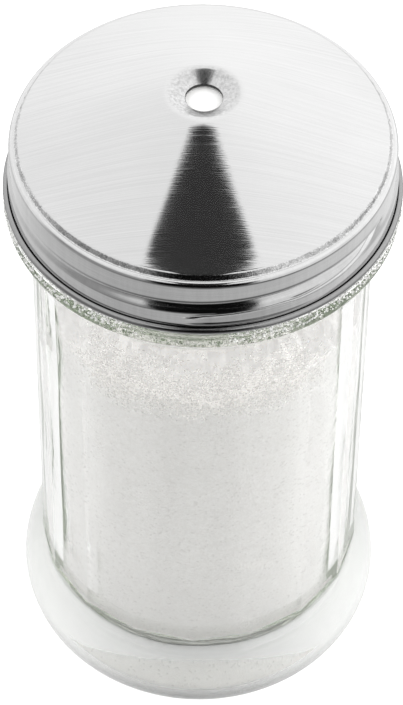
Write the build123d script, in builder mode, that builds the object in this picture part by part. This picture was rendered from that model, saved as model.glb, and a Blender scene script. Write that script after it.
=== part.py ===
"""Sugar dispenser: a panelled glass jar with a round foot, closed by a screwed-on
steel lid with a pour hole in its middle and a weighted flap under the hole.

Frame: millimetres, +Z up, origin at the centre of the foot's resting face.
-Y is the front. Azimuths are counted from the front towards +X.
"""

from build123d import *
import os
from math import atan2, cos, degrees, hypot, pi, radians, sin, tan

os.makedirs("parts", exist_ok=True)

# ---------------------------------------------------------------- jar sizes
NECK_RADIUS = 34.9  # inside the lid; every other radius follows from it
NECK_WALL = 3.4
NECK_HEIGHT = 10.9
NECK_BORE_FLARE_HEIGHT = 8.0  # over which the bore widens, up to the collar
LIP_ROUND = 0.8

PANEL_COUNT = 17  # flat panels round the body
PANEL_SET_IN = 1.65  # from the neck to a corner between two panels
PANEL_CORNER_AZIMUTH = -1.9  # azimuth of the corner nearest to the front
PANEL_EDGE_ROUND = 1.2
BODY_WALL = 3.0  # at the middle of a panel
BODY_TOP = 123.9  # top of the panels, where the glass collar starts

COLLAR_SET_IN = 0.2  # the collar is this much narrower than the lid's rolled edge
COLLAR_HEIGHT = 3.6
COLLAR_EDGE_ROUND = 1.5
COLLAR_FLARE_HEIGHT = 2.4  # cone under the collar, from the panels outwards

FOOT_SET_IN = 0.7  # the foot is this much narrower than the collar
FOOT_WIDEST_HEIGHT = 12.7  # also the radius of the foot's lower round
FOOT_TOP = 24.4  # where the foot runs into the panels
FOOT_WALL = 6.8  # the hollow widens a little inside the foot
FLOOR_THICKNESS = 4.2
FLOOR_CORNER_ROUND = 5.0
FLOOR_CORNER_LAND = 0.2  # upright wall above the floor's round corner
STANDING_RING_WIDTH = 5.6
BASE_RECESS_DEPTH = 1.2

# ------------------------------------------------------------- thread sizes
THREAD_PITCH = 25.4 / 6  # six turns to the inch, right-handed
THREAD_HEIGHT = 1.1  # how far the glass ridge stands out of the neck
THREAD_CLEARANCE = 0.3  # glass ridge to the lid's inside wall
RIDGE_ROOT_WIDTH = 1.6
RIDGE_TIP_WIDTH = 0.8
RIDGE_RUN = (-364.0, 68.0)  # azimuths of the glass ridge's lower and upper end
RIDGE_END_BELOW_LIP = 1.26

BEAD_ROOT_WIDTH = 2.2  # the lid's rolled thread, seen from inside
BEAD_TIP_WIDTH = 0.6
BEAD_HEIGHT = 1.1
BEAD_RUNS = ((-58.0, 65.0), (-250.0, -110.0))  # rolled in two runs, front and back
SWEEP_BURY = 0.6  # how deep a swept thread is sunk into its wall

# ---------------------------------------------------------------- lid sizes
SHEET = 0.5
CONE_SLOPE = 22.75  # degrees from level
STEP_HEIGHT = 0.8  # from the rim up to the edge of the raised disc
RIM_WIDTH = 1.4  # level ring round the raised disc
RIM_ROUND = 1.0
SHOULDER_ROUND = 0.6
DIMPLE_RADIUS = 7.0
DIMPLE_DEPTH = 2.1
POUR_HOLE_RADIUS = 3.5
DIMPLE_LIP_ROUND = 0.7
SKIRT_FLARE = 0.4  # the skirt is this much wider below its thread
SKIRT_FLARE_HEIGHT = 4.6  # from the rolled edge up to the flare
CURL_RADIUS = 0.7  # rolled lower edge
CURL_STAND_OUT = 0.3  # of the curl's centre from the skirt's outside
CURL_GAP = 0.3  # curl to the glass collar

# ------------------------------------------------- insert, gasket and flap
GASKET_THICKNESS = 1.0
GASKET_WIDTH = 2.8
FLANGE_THICKNESS = 1.35  # of the insert, at its edge
FLANGE_WIDTH = 4.2
INSERT_CLEARANCE = 0.1
INSERT_EDGE_CUT = 0.5  # bevel that clears the round inside the lid's step
CHEEK_THICKNESS = 1.6
CHEEK_CLEARANCE = 0.5  # between a cheek and the flap
CHEEK_ROOF_GAP = 0.5  # cheek to the lid's underside
EAR_RADIUS = 2.3

PIVOT_BACK = 12.0  # hinge pin behind the pour hole
PIN_RADIUS = 0.9
PIN_STAND_OUT = 0.4
HINGE_CLEARANCE = 0.05

PAD_RADIUS = 5.5
PAD_THICKNESS = 1.2
PAD_CLEARANCE = 0.1
PAD_EDGE_ROUND = 0.4
ARM_START = 1.4  # from the pad's centre towards the hinge
ARM_WIDTH = 7.0
ARM_THICKNESS = 1.6
HUB_RADIUS = 2.1
HUB_LENGTH = 14.0
TAIL_LENGTH = 10.9  # hinge pin to the middle of the weight
TAIL_ANGLE = 55.0  # degrees below level
BARREL_WALL = 1.0
WEIGHT_RADIUS = 2.2
WEIGHT_FIT = 0.05
WEIGHT_END_CHAMFER = 0.3
CUT_OVERRUN = 1.0  # cutting tools run this far past what they cut

# ------------------------------------------------------------ derived sizes
collar_top = BODY_TOP + COLLAR_HEIGHT
lip_z = collar_top + NECK_HEIGHT
skirt_inner = NECK_RADIUS + THREAD_HEIGHT + THREAD_CLEARANCE
skirt_outer = skirt_inner + SHEET
step_outer = skirt_outer - RIM_WIDTH
slope = tan(radians(CONE_SLOPE))
sheet_down = SHEET / cos(radians(CONE_SLOPE))

gasket_top = lip_z + GASKET_THICKNESS
gasket_outer = NECK_RADIUS - INSERT_CLEARANCE
insert_radius = step_outer - SHEET - INSERT_CLEARANCE
flange_top = gasket_top + FLANGE_THICKNESS
disc_edge_z = flange_top + sheet_down - slope * (SHEET + INSERT_CLEARANCE)
rim_z = disc_edge_z - STEP_HEIGHT
dimple_lip_z = disc_edge_z + slope * (step_outer - DIMPLE_RADIUS)
hole_z = dimple_lip_z - DIMPLE_DEPTH
curl_z = collar_top + CURL_GAP + CURL_RADIUS
skirt_low_outer = skirt_outer + SKIRT_FLARE
curl_centre_radius = skirt_low_outer + CURL_STAND_OUT

neck_bore_radius = NECK_RADIUS - NECK_WALL
panel_corner_radius = NECK_RADIUS - PANEL_SET_IN
panel_flat_radius = panel_corner_radius * cos(pi / PANEL_COUNT)
body_bore_radius = panel_flat_radius - BODY_WALL
collar_radius = curl_centre_radius + CURL_RADIUS - COLLAR_SET_IN
foot_radius = collar_radius - FOOT_SET_IN
foot_inner_radius = foot_radius - FOOT_WALL
foot_inner_height = FLOOR_THICKNESS + FLOOR_CORNER_ROUND + FLOOR_CORNER_LAND
standing_radius = foot_radius - FOOT_WIDEST_HEIGHT
base_recess_radius = standing_radius - STANDING_RING_WIDTH

ridge_front_z = lip_z - RIDGE_END_BELOW_LIP - THREAD_PITCH * RIDGE_RUN[1] / 360
bead_front_z = ridge_front_z - THREAD_PITCH / 2  # half a pitch under the glass ridge

hub_half = HUB_LENGTH / 2
cheek_inner = hub_half + CHEEK_CLEARANCE
cheek_outer = cheek_inner + CHEEK_THICKNESS
pad_top = hole_z - sheet_down - PAD_CLEARANCE
weight_bore = WEIGHT_RADIUS + WEIGHT_FIT
barrel_radius = weight_bore + BARREL_WALL


def roof(radius):
    """Height of the lid's underside at a distance from the axis, outside the dimple."""
    return disc_edge_z + slope * (step_outer - radius) - sheet_down


pivot_z = roof(hypot(PIVOT_BACK, cheek_outer)) - CHEEK_ROOF_GAP - EAR_RADIUS
weight_y = PIVOT_BACK + TAIL_LENGTH * cos(radians(TAIL_ANGLE))
weight_z = pivot_z - TAIL_LENGTH * sin(radians(TAIL_ANGLE))


def thread_solid(wall_radius, direction, height, root_width, tip_width, run, front_z):
    """Screw thread: a trapezium swept along a right-handed helix.

    direction is +1 for a ridge that stands outwards, -1 for one that stands inwards.
    run holds the azimuths of its two ends, and front_z its height at azimuth 0.
    """
    start_azimuth, end_azimuth = run
    start_z = front_z + THREAD_PITCH * start_azimuth / 360
    climb = THREAD_PITCH * (end_azimuth - start_azimuth) / 360
    place = Pos(0, 0, start_z) * Rot(0, 0, start_azimuth - 90)
    path = place * Helix(THREAD_PITCH, climb, wall_radius)
    start = path @ 0
    section = Plane(origin=start, x_dir=(start.X, start.Y, 0), z_dir=path % 0)
    bury = -direction * SWEEP_BURY
    tip = direction * height
    with BuildPart() as thread:
        with BuildSketch(section):
            with BuildLine():
                Polyline(
                    (bury, -root_width / 2),
                    (tip, -tip_width / 2),
                    (tip, tip_width / 2),
                    (bury, root_width / 2),
                    close=True,
                )
            make_face()
        sweep(path=path, is_frenet=True)
    return thread.part


# ---------------------------------------------------------------- glass jar
with BuildPart() as glass_jar:
    # Foot and floor: a bulging ring that narrows to the panels.
    with BuildSketch(Plane.XZ):
        with BuildLine():
            base = Line((0, 0), (standing_radius, 0))
            lower = TangentArc(base @ 1, (foot_radius, FOOT_WIDEST_HEIGHT), tangent=(1, 0))
            upper = TangentArc(lower @ 1, (panel_corner_radius, FOOT_TOP), tangent=(0, 1))
            Polyline(upper @ 1, (0, FOOT_TOP), (0, 0))
        make_face()
    revolve()
    # Panelled body.
    with BuildSketch(Plane.XY.offset(FOOT_WIDEST_HEIGHT)) as panels:
        RegularPolygon(
            panel_corner_radius,
            PANEL_COUNT,
            rotation=PANEL_CORNER_AZIMUTH - 90,
        )
        fillet(panels.vertices(), PANEL_EDGE_ROUND)
    extrude(amount=BODY_TOP - FOOT_WIDEST_HEIGHT)
    # Collar with its flare, and the neck.
    with BuildSketch(Plane.XZ) as collar_and_neck:
        with BuildLine():
            Polyline(
                (0, BODY_TOP - COLLAR_FLARE_HEIGHT),
                (panel_flat_radius, BODY_TOP - COLLAR_FLARE_HEIGHT),
                (collar_radius, BODY_TOP),
                (collar_radius, collar_top),
                (NECK_RADIUS, collar_top),
                (NECK_RADIUS, lip_z),
                (0, lip_z),
                close=True,
            )
        make_face()
        collar_corners = collar_and_neck.vertices().filter_by(lambda v: abs(v.X - collar_radius) < 0.01)
        fillet(collar_corners, COLLAR_EDGE_ROUND)
    revolve()
    # Glass thread on the neck.
    add(
        thread_solid(
            NECK_RADIUS,
            1,
            THREAD_HEIGHT,
            RIDGE_ROOT_WIDTH,
            RIDGE_TIP_WIDTH,
            RIDGE_RUN,
            ridge_front_z,
        )
    )
    # Hollow, from the rounded floor to the mouth.
    bore_flare_start = BODY_TOP - NECK_BORE_FLARE_HEIGHT
    with BuildSketch(Plane.XZ) as hollow:
        with BuildLine():
            Polyline(
                (0, FLOOR_THICKNESS),
                (foot_inner_radius, FLOOR_THICKNESS),
                (foot_inner_radius, foot_inner_height),
                (body_bore_radius, FOOT_TOP),
                (body_bore_radius, bore_flare_start),
                (neck_bore_radius, BODY_TOP),
                (neck_bore_radius, lip_z + CUT_OVERRUN),
                (0, lip_z + CUT_OVERRUN),
                close=True,
            )
        make_face()
        floor_corner = hollow.vertices().filter_by(
            lambda v: abs(v.X - foot_inner_radius) < 0.01 and v.Y < FLOOR_THICKNESS + 0.01
        )
        fillet(floor_corner, FLOOR_CORNER_ROUND)
    revolve(mode=Mode.SUBTRACT)
    # Shallow recess under the foot, so that it stands on a ring.
    with BuildSketch(Plane.XZ):
        with BuildLine():
            dome = TangentArc((0, BASE_RECESS_DEPTH), (base_recess_radius, 0), tangent=(1, 0))
            Polyline(dome @ 1, (0, 0), (0, BASE_RECESS_DEPTH))
        make_face()
    revolve(mode=Mode.SUBTRACT)
    # Rounded mouth.
    lip_edges = glass_jar.edges().filter_by(GeomType.CIRCLE).group_by(Axis.Z)[-1]
    fillet(lip_edges, LIP_ROUND)
glass_jar.part.label = "glass_jar"
export_step(glass_jar.part, "parts/glass_jar.step")


# ---------------------------------------------------------------- lid shell
def lid_solid(inset, inset_down, rim_round, shoulder_round, lip_round):
    """Solid of revolution under one face of the lid's sheet.

    inset is how far that face lies inside the outer one at the walls, and
    inset_down how far it lies under it at the top.
    """
    top = dimple_lip_z - inset_down
    skirt = skirt_outer - inset
    step = step_outer - inset
    low_skirt = skirt + SKIRT_FLARE
    flare_low = curl_z + SKIRT_FLARE_HEIGHT - SKIRT_FLARE
    outline = [
        (0, hole_z - inset_down),
        (POUR_HOLE_RADIUS, hole_z - inset_down),
        (DIMPLE_RADIUS, top),
        (step, disc_edge_z - inset_down + slope * inset),
        (step, rim_z - inset),
        (skirt, rim_z - inset),
        (skirt, curl_z + SKIRT_FLARE_HEIGHT),
        (low_skirt, flare_low),
        (low_skirt, curl_z),
        (0, curl_z),
    ]
    with BuildPart() as solid:
        with BuildSketch(Plane.XZ) as face:
            with BuildLine():
                Polyline(*outline, close=True)
            make_face()
            for corner, radius in (
                (outline[2], lip_round),
                (outline[3], shoulder_round),
                (outline[5], rim_round),
            ):
                fillet(face.vertices().sort_by_distance(corner)[0], radius)
        revolve()
    return solid.part


lid_outside = lid_solid(0, 0, RIM_ROUND, SHOULDER_ROUND, DIMPLE_LIP_ROUND)
lid_inside = lid_solid(SHEET, sheet_down, RIM_ROUND - SHEET, SHOULDER_ROUND / 2, DIMPLE_LIP_ROUND)


def rolled_thread(wall_radius, run):
    """One run of the lid's thread, against one face of the skirt."""
    return thread_solid(
        wall_radius,
        -1,
        BEAD_HEIGHT,
        BEAD_ROOT_WIDTH,
        BEAD_TIP_WIDTH,
        run,
        bead_front_z,
    )


beads = [rolled_thread(skirt_inner, run) for run in BEAD_RUNS]
grooves = [rolled_thread(skirt_outer, run) for run in BEAD_RUNS]
with BuildPart() as lid_shell:
    add(lid_outside)
    add(lid_inside, mode=Mode.SUBTRACT)
    # Rolled lower edge.
    with BuildSketch(Plane.XZ):
        with Locations((curl_centre_radius, curl_z)):
            Circle(CURL_RADIUS)
    revolve()
    # The rolled thread stands inwards and leaves a groove outside.
    add(beads)
    add(grooves, mode=Mode.SUBTRACT)
    with BuildSketch(Plane.XY.offset(hole_z + CUT_OVERRUN)):
        Circle(POUR_HOLE_RADIUS)
    extrude(amount=-(sheet_down + 2 * CUT_OVERRUN), mode=Mode.SUBTRACT)
lid_shell.part.label = "lid_shell"
export_step(lid_shell.part, "parts/lid_shell.step")


# ------------------------------------------------------------------- gasket
with BuildPart() as sealing_gasket:
    with BuildSketch(Plane.XY.offset(lip_z)):
        Circle(gasket_outer)
        Circle(gasket_outer - GASKET_WIDTH, mode=Mode.SUBTRACT)
    extrude(amount=GASKET_THICKNESS)
sealing_gasket.part.label = "sealing_gasket"
export_step(sealing_gasket.part, "parts/sealing_gasket.step")


# --------------------------------------------------- insert inside the lid
flange_inner = insert_radius - FLANGE_WIDTH
with BuildPart() as lid_insert:
    # Flange that fills the space between the gasket and the lid's cone.
    with BuildSketch(Plane.XZ):
        with BuildLine():
            Polyline(
                (flange_inner, gasket_top),
                (insert_radius, gasket_top),
                (insert_radius, flange_top - INSERT_EDGE_CUT),
                (insert_radius - INSERT_EDGE_CUT, roof(insert_radius - INSERT_EDGE_CUT)),
                (flange_inner, roof(flange_inner)),
                close=True,
            )
        make_face()
    revolve()
    # Two upright cheeks that run from the flange's back to the hinge pin.
    cheek_back = flange_inner + FLANGE_WIDTH / 2
    with BuildSketch(Plane.YZ.offset(cheek_inner)) as cheek:
        with BuildLine():
            Polyline(
                (PIVOT_BACK - EAR_RADIUS, pivot_z),
                (PIVOT_BACK, pivot_z - EAR_RADIUS),
                (cheek_back, gasket_top),
                (cheek_back, roof(hypot(cheek_back, cheek_outer)) - CHEEK_ROOF_GAP),
                (PIVOT_BACK, pivot_z + EAR_RADIUS),
                close=True,
            )
        make_face()
        with Locations((PIVOT_BACK, pivot_z)):
            Circle(EAR_RADIUS)
    extrude(amount=CHEEK_THICKNESS)
    mirror(about=Plane.YZ)
    # Pin holes in both ears.
    with BuildSketch(Plane.YZ.offset(-cheek_outer - CUT_OVERRUN)):
        with Locations((PIVOT_BACK, pivot_z)):
            Circle(PIN_RADIUS)
    extrude(amount=2 * (cheek_outer + CUT_OVERRUN), mode=Mode.SUBTRACT)
lid_insert.part.label = "lid_insert"
export_step(lid_insert.part, "parts/lid_insert.step")


# ---------------------------------------------------------------- hinge pin
pin_half = cheek_outer + PIN_STAND_OUT
with BuildPart() as hinge_pin:
    with BuildSketch(Plane.YZ.offset(-pin_half)):
        with Locations((PIVOT_BACK, pivot_z)):
            Circle(PIN_RADIUS)
    extrude(amount=2 * pin_half)
hinge_pin.part.label = "hinge_pin"
export_step(hinge_pin.part, "parts/hinge_pin.step")


# --------------------------------------------------------------------- flap
arm_start = (ARM_START, pad_top - PAD_THICKNESS)


def strap(start, end, thickness, width):
    """Flat strap with round ends between two points of the YZ plane, centred on X = 0."""
    run = (end[0] - start[0], end[1] - start[1])
    with BuildPart() as solid:
        with BuildSketch(Plane.YZ.offset(-width / 2)):
            with Locations(((start[0] + end[0]) / 2, (start[1] + end[1]) / 2)):
                SlotCenterToCenter(hypot(*run), thickness, rotation=degrees(atan2(run[1], run[0])))
        extrude(amount=width)
    return solid.part


pad_arm = strap(arm_start, (PIVOT_BACK, pivot_z), ARM_THICKNESS, ARM_WIDTH)
tail_arm = strap((PIVOT_BACK, pivot_z), (weight_y, weight_z), ARM_THICKNESS, ARM_WIDTH)
with BuildPart() as flap:
    # Pad that closes the pour hole from below.
    with BuildSketch(Plane.XY.offset(pad_top)):
        Circle(PAD_RADIUS)
    extrude(amount=-PAD_THICKNESS)
    fillet(flap.edges(), PAD_EDGE_ROUND)
    add(pad_arm)
    add(tail_arm)
    # Hub on the pin, and the barrel that holds the weight.
    for centre, radius in (
        ((PIVOT_BACK, pivot_z), HUB_RADIUS),
        ((weight_y, weight_z), barrel_radius),
    ):
        with BuildSketch(Plane.YZ.offset(-hub_half)):
            with Locations(centre):
                Circle(radius)
        extrude(amount=HUB_LENGTH)
    for centre, radius in (
        ((PIVOT_BACK, pivot_z), PIN_RADIUS + HINGE_CLEARANCE),
        ((weight_y, weight_z), weight_bore),
    ):
        with BuildSketch(Plane.YZ.offset(-hub_half - CUT_OVERRUN)):
            with Locations(centre):
                Circle(radius)
        extrude(amount=HUB_LENGTH + 2 * CUT_OVERRUN, mode=Mode.SUBTRACT)
flap.part.label = "flap"
export_step(flap.part, "parts/flap.step")


# ------------------------------------------------------------ counterweight
with BuildPart() as counterweight:
    with BuildSketch(Plane.YZ.offset(-hub_half)):
        with Locations((weight_y, weight_z)):
            Circle(WEIGHT_RADIUS)
    extrude(amount=HUB_LENGTH)
    chamfer(counterweight.edges().filter_by(GeomType.CIRCLE), WEIGHT_END_CHAMFER)
counterweight.part.label = "counterweight"
export_step(counterweight.part, "parts/counterweight.step")
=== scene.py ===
"""Looks of the sugar dispenser: a panelled glass jar of sugar under a brushed steel lid.

Lengths are in millimetres in the row frame (+Z up, -Y the front) and become metres in build_mesh
and in the materials, whose noise scales are per metre.
Azimuths are in degrees, counted from the front towards +X.
"""

import math

import bpy
import numpy as np
from mathutils import Matrix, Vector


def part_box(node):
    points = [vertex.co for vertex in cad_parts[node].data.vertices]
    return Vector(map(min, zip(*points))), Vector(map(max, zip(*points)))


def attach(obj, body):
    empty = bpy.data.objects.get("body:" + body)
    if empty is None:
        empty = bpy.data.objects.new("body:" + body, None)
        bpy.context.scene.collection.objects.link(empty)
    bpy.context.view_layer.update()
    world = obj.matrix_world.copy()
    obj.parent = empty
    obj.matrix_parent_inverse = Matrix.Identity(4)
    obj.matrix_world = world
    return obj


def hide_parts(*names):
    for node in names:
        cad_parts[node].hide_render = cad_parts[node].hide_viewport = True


MM = 0.001
MICRON = 1e-6
TURN = 6.28  # range of the random phases, about a full turn in radians

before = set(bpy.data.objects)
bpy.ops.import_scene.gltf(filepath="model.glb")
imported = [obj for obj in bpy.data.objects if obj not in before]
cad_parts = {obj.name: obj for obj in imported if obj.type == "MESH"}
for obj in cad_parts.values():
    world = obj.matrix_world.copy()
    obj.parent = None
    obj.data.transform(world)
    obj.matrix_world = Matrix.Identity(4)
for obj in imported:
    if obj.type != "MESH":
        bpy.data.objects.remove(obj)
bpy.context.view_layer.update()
JAR_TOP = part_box("glass_jar")[1].z / MM

# ------------------------------- jar sizes
PANEL_COUNT = 17
PANEL_CORNER_RADIUS = 33.25
PANEL_CORNER_AZIMUTH = -1.9
PANEL_EDGE_ROUND = 2.4
PANEL_FLATNESS = 0.6  # 1 for flat panels, 0 for a round jar
PANEL_SAMPLES = 16
PANEL_CROWDING = 0.13  # how far the samples crowd towards a panel's corners
GLASS_WALL = 3.0  # at the middle of a panel
BODY_BORE = round(PANEL_CORNER_RADIUS * math.cos(math.pi / PANEL_COUNT) - GLASS_WALL, 3)
BODY_TOP = 123.9
BODY_ROW = 2.8  # height of a row of faces on the panels

FOOT_RADIUS = 37.3
FOOT_WIDEST = 12.7  # height of the foot's widest ring, and radius of the round below it
FOOT_TOP = 24.4
FOOT_BORE = 30.5
FOOT_ROW = 0.8
PANELS_FROM = 20.0  # below this height the panels are wholly inside the foot
WAIST = (22.0, 27.0)  # heights of the crease between the foot and the panels
WAIST_ROW = 0.14
WAIST_ROUND = 0.35
FOOT_RINGS = 22
FLOOR_HEIGHT = 4.2
FLOOR_ROUND = 5.0
FLOOR_ROUND_SLACK = 0.4  # keeps the floor's round clear of the bend above it
RING_OUTER = FOOT_RADIUS - FOOT_WIDEST
RING_WIDTH = 5.6
RING_INNER = RING_OUTER - RING_WIDTH
RECESS_DEPTH = 1.2
RECESS_BEND = (9.0, 0.8 * RECESS_DEPTH, 12.0)  # radius, height and round
RING_ROUND = 1.0
AXIS_GAP = 0.5  # radius of the ring next to a pole
ROW_GAP = 0.1  # keeps the ends of two stretches of rings apart

COLLAR_RADIUS = 38.0
COLLAR_TOP = 127.5
COLLAR_FLARE = 2.4
COLLAR_FLARE_SINK = 0.4  # the cone under the collar starts this far inside the panels' corners
COLLAR_FLARE_GAP = 0.5  # and this far above the panels' last ring
COLLAR_ROUND = 1.5
COLLAR_ROW = 0.45
SHOULDER_ROUND = 0.55 * COLLAR_ROUND  # where the collar meets the cone under it
NECK_RADIUS = 34.9
NECK_BORE = 31.5
NECK_BORE_FLARE = 8.0
NECK_BORE_ROUND = 12.0
NECK_FOOT_ROUND = 0.4
NECK_FOOT_HEIGHT = 1.0
NECK_ROW = 0.24
RIDGE_FROM = (-0.1, 0.4)  # heights above the neck's foot over which the ridge may begin
BORE_ROUND = 6.0  # at the bends under the neck and in the foot
LIP_ROUND = 0.8

PITCH = 25.4 / 6
RIDGE_HEIGHT = 1.1
RIDGE_HALF_WIDTH = 0.8
RIDGE_CREST_HALF_WIDTH = 0.35
RIDGE_RUN = (-364.0, 68.0)
RIDGE_END = 8.0  # degrees over which the ridge rises at its ends
RIDGE_BELOW_MOUTH = 1.26
RIDGE_FRONT_Z = JAR_TOP - RIDGE_BELOW_MOUTH - PITCH * RIDGE_RUN[1] / 360

GLASS_WAVE = 0.045  # height of the glass's unevenness outside
OUTER_WAVES = (24.0, 3)  # length and random seed
OUTER_WAVES_RISE = (2.0, 8.0)  # heights over which the waves begin
OUTER_WAVES_FALL = (BODY_TOP, BODY_TOP - 12.0)
INNER_WAVES = (30.0, 8)
INNER_WAVES_RISE = (FLOOR_HEIGHT + 2, FLOOR_HEIGHT + 14)
INNER_WAVINESS = 1.6  # height of the inside's waves, next to the outside's

# ----------------------------------- sugar
SUGAR_GAP = 0.1
SUGAR_LEVEL = 101.5
SUGAR_MOUND = 1.5
SUGAR_LUMPS = ((0.9, 13.0, 11), (0.5, 5.0, 12), (0.28, 2.4, 13))  # height, length and random seed
SUGAR_EDGE_DROP = 0.8  # the sugar falls away this much against the glass
SUGAR_COLUMN = 1.5  # degrees between its columns of points
SUGAR_RINGS = (BODY_BORE - 0.5, 0.6, -0.7)  # radii on its open surface: from, to and step
SUGAR_SIDE_END = SUGAR_LEVEL - 2

CLING_BITE = 0.03  # how far the coat of crystals reaches into the glass and out of it
CLING_TOP = 119.0
CLING_LOW = SUGAR_LEVEL - 9
CLING_FULL = SUGAR_LEVEL - 1  # where the coat is thickest
CLING_THINNED = SUGAR_LEVEL + 15
CLING_SIDES = (18.0, 26.0)  # distances to the side over which it gets thin
CLING_ALL_ROUND = (112.0, 118.0)  # heights over which the sides catch up with the front

SPILLED_COUNT = 2000
SPILLED_SEED = 5
SPILLED_SIZE = (0.13, 0.27)  # half a crystal's edge
SPILLED_SHRINK = 0.35  # the lowest crystals are smaller by this share
SPILLED_FRONT = -5  # azimuth with the fewest crystals
SPILLED_FROM_FRONT = (9, 24)  # degrees from there over which they begin
SPILLED_BEHIND = (110, 150)  # azimuths over which half of them end
SPILLED_STRAY = 0.01  # share of crystals that may lie anywhere
SPILLED_BUNCHING = 1.6  # power that gathers them at the top of the collar's edge
SPILLED_ROUND_EDGE = (22, 68)  # degrees from upright where they start on that edge, and their span
SPILLED_SPREAD = 1.5  # how fast they get round the edge as the drop grows
SPILLED_OVER_EDGE = 0.667  # the drop at which they have got round it
SPILLED_FALL = 1.5  # how fast they get down from there
SPILLED_STAND = 0.55  # a crystal's middle is this share of its half edge off the glass
SPILLED_REACH = COLLAR_RADIUS + 0.16
SPILLED_STRETCH = (0.65, 1.1)
SPILLED_SKEW = (0.8, 1.1)

# ------------------------------- lid sizes
SHEET = 0.5
CONE_SLOPE = math.tan(math.radians(22.75))
SHEET_DOWN = SHEET * math.hypot(1, CONE_SLOPE)  # the sheet's thickness measured straight down
HOLE_RADIUS = 3.5
HOLE_EDGE_ROUND = 0.12
HOLE_EDGE_HEIGHT = 0.3
DIMPLE_RADIUS = 7.0
DIMPLE_DEPTH = 1.64
DIMPLE_LIP_ROUND = 1.8
DISC_RADIUS = 35.4
DISC_EDGE_Z = 141.04
LIP_Z = DISC_EDGE_Z + CONE_SLOPE * (DISC_RADIUS - DIMPLE_RADIUS)
EASE = ((31.0, 22.5), (33.0, 22.1), (34.2, 21.85), (34.6, 21.6))  # radius, and slope past it in degrees
EASE_ROUND = 30.0
STEP_RADIUS = 35.08  # top of the pressed step, which leans at STEP_SLOPE
STEP_SLOPE = math.tan(math.radians(62.0))
STEP_ROUND = 0.85
STEP_FOOT_ROUND = 0.35
RIM_Z = 140.24
RIM_ROUND = 1.0
RIM_TURN_DOWN = 1.6  # how far the top's profile runs down the skirt
INSIDE_ROUNDS = (0.5, 0.1, 0.3)  # of the underside at the rim, and at the step's foot and top
SKIRT_RADIUS = 36.8
SKIRT_ROWS = ((138.4, 136.4, -0.3), (136.4, 130.2, -0.1))  # from, to and step, downwards
INNER_ROWS = (128.9, 136.9, 0.4)  # inside the skirt, upwards
INNER_TOP = 137.0
FLARE = 0.4
FLARE_RUN = (134.2, 132.6)  # heights over which the skirt flares
CURL_CENTRE = (37.44, 128.5)
CURL_RADIUS = 0.7
CURL_REACH = (0.62, 0.76)  # inward and outward
CURL_TURN = (97, -190, -9.0)  # degrees from outward: from, to and step
CREVICE_RADIUS = 37.36
CREVICE_LOW = 128.35
CREVICE_TOP = 130.0
CREVICE_MOUTH = CURL_CENTRE[1] + 0.6
ROLL_TOP = CREVICE_LOW + 1
CREVICE_ROUND = 0.05
# half width of the crevice's painted shade
CREVICE_SHADE_HALF_WIDTH = 0.17
STEP_WIDTH = 0.6
SEAM_SLACK = 0.1  # how far the seam between two finishes may lie off its line
LID_COLUMNS = 450

GROOVE_FRONT_Z = 135.4
GROOVE_DEPTH = 0.8
GROOVE_UPPER = (-0.02, 0.4)  # distances under its top line over which the groove deepens
GROOVE_LOWER = (2.5, 0.75)  # and the same from its lower side
GROOVE_BROW = 0.12  # the skirt swells out just over the groove
GROOVE_BROW_UPPER = (-0.6, -0.08)
GROOVE_BROW_LOWER = (0.12, 0.0)
GROOVE_BROW_RUN_IN = 12.0  # degrees over which the swell rises from its low end
GROOVE_RUN_IN = 50.0  # and over which the groove deepens
GROOVE_RUN_BEFORE = 2.0  # degrees before its low end where the groove begins
GROOVE_RUN_OUT = (1.5, -4.0)  # degrees past its high end over which it closes
GROOVE_RUNS = ((-58.0, 65.0), (-250.0, -110.0))
GROOVE_LEAD = 20.0  # degrees before a run that are counted from its start

LOWER_CREASE = (  # azimuth and height of points along it
    (-4, 131.6), (0.5, 132.1), (5, 132.3), (14, 132.5), (23, 132.6), (29, 132.35),
    (36, 132.6), (43, 132.9), (52, 133.6), (60, 134.6), (65, 135.5),
)
CREASE_DEPTH = 0.24
CREASE_HALF_WIDTH = (0.26, 0.02)  # at its mouth and at its bottom
CREASE_SWELL = 0.07
CREASE_SWELL_AT = 0.42  # distance of the swell above and below the crease
CREASE_SWELL_HALF_WIDTH = 0.3
CREASE_ENDS = ((-5, -2), (66, 64))  # azimuths over which it starts and stops
CREASE_LEAN = 0.42  # how far the skirt under the crease leans in at its top
CREASE_LEAN_ENDS = ((-6, 2), (44, 16))
CREASE_LEAN_EDGE = 0.12  # half the height over which the lean begins

BRUSH_DEPTHS = (6.2 * MICRON, 3 * MICRON)  # near the pour hole, and over the rest of the cone
BRUSH_DEPTH_RUN = (9.0, 22.0)  # radii over which it changes
BRUSH_LOST_IN_DIMPLE = 4 * MICRON
BRUSH_MAP_SCALE = 10  # the map's units per metre
DULL_RUN = (DIMPLE_RADIUS - 0.9, DIMPLE_RADIUS + 0.2)  # radii over which the dimple's dull finish ends

# ---------------------------------- studio
SKY_LEVEL = 1.15
SKY_TONE = 0.91
SKY_BRIGHTER = (0.11, 0.13)  # to the right, and to the back
HORIZON_LEVELS = (0.36, 0.8)  # low in front, at the left and at the right
HORIZON_WIDTH = 0.9
HORIZON_RISE = (0.8, 0.3)  # upward parts of the directions over which the low part begins
HORIZON_FRONT = (-0.15, 0.25)  # and forward parts
FILL_LEVEL = 1.25  # what matt surfaces see, as from the studio's lamps
LAMP_LEVELS = (2.7, 4.9)  # large lamps at the left and at the right
LAMP_FOCUS = 4.0
STRIP = (  # half-width of the dark strip at each angle from overhead towards the front, in degrees
    (-10, 0), (-0.4, 0.0), (0.2, 0.175), (0.45, 0.222), (0.7, 0.245), (1.1, 0.258), (2.0, 0.267),
    (5.0, 0.29), (8, 0.17), (36, 0.17), (46, 0.42), (60, 0.45), (90, 0.46),
)
STRIP_INSET = 0.02  # taken off the half-width, so that 0 leaves nothing of the soft edge
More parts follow.
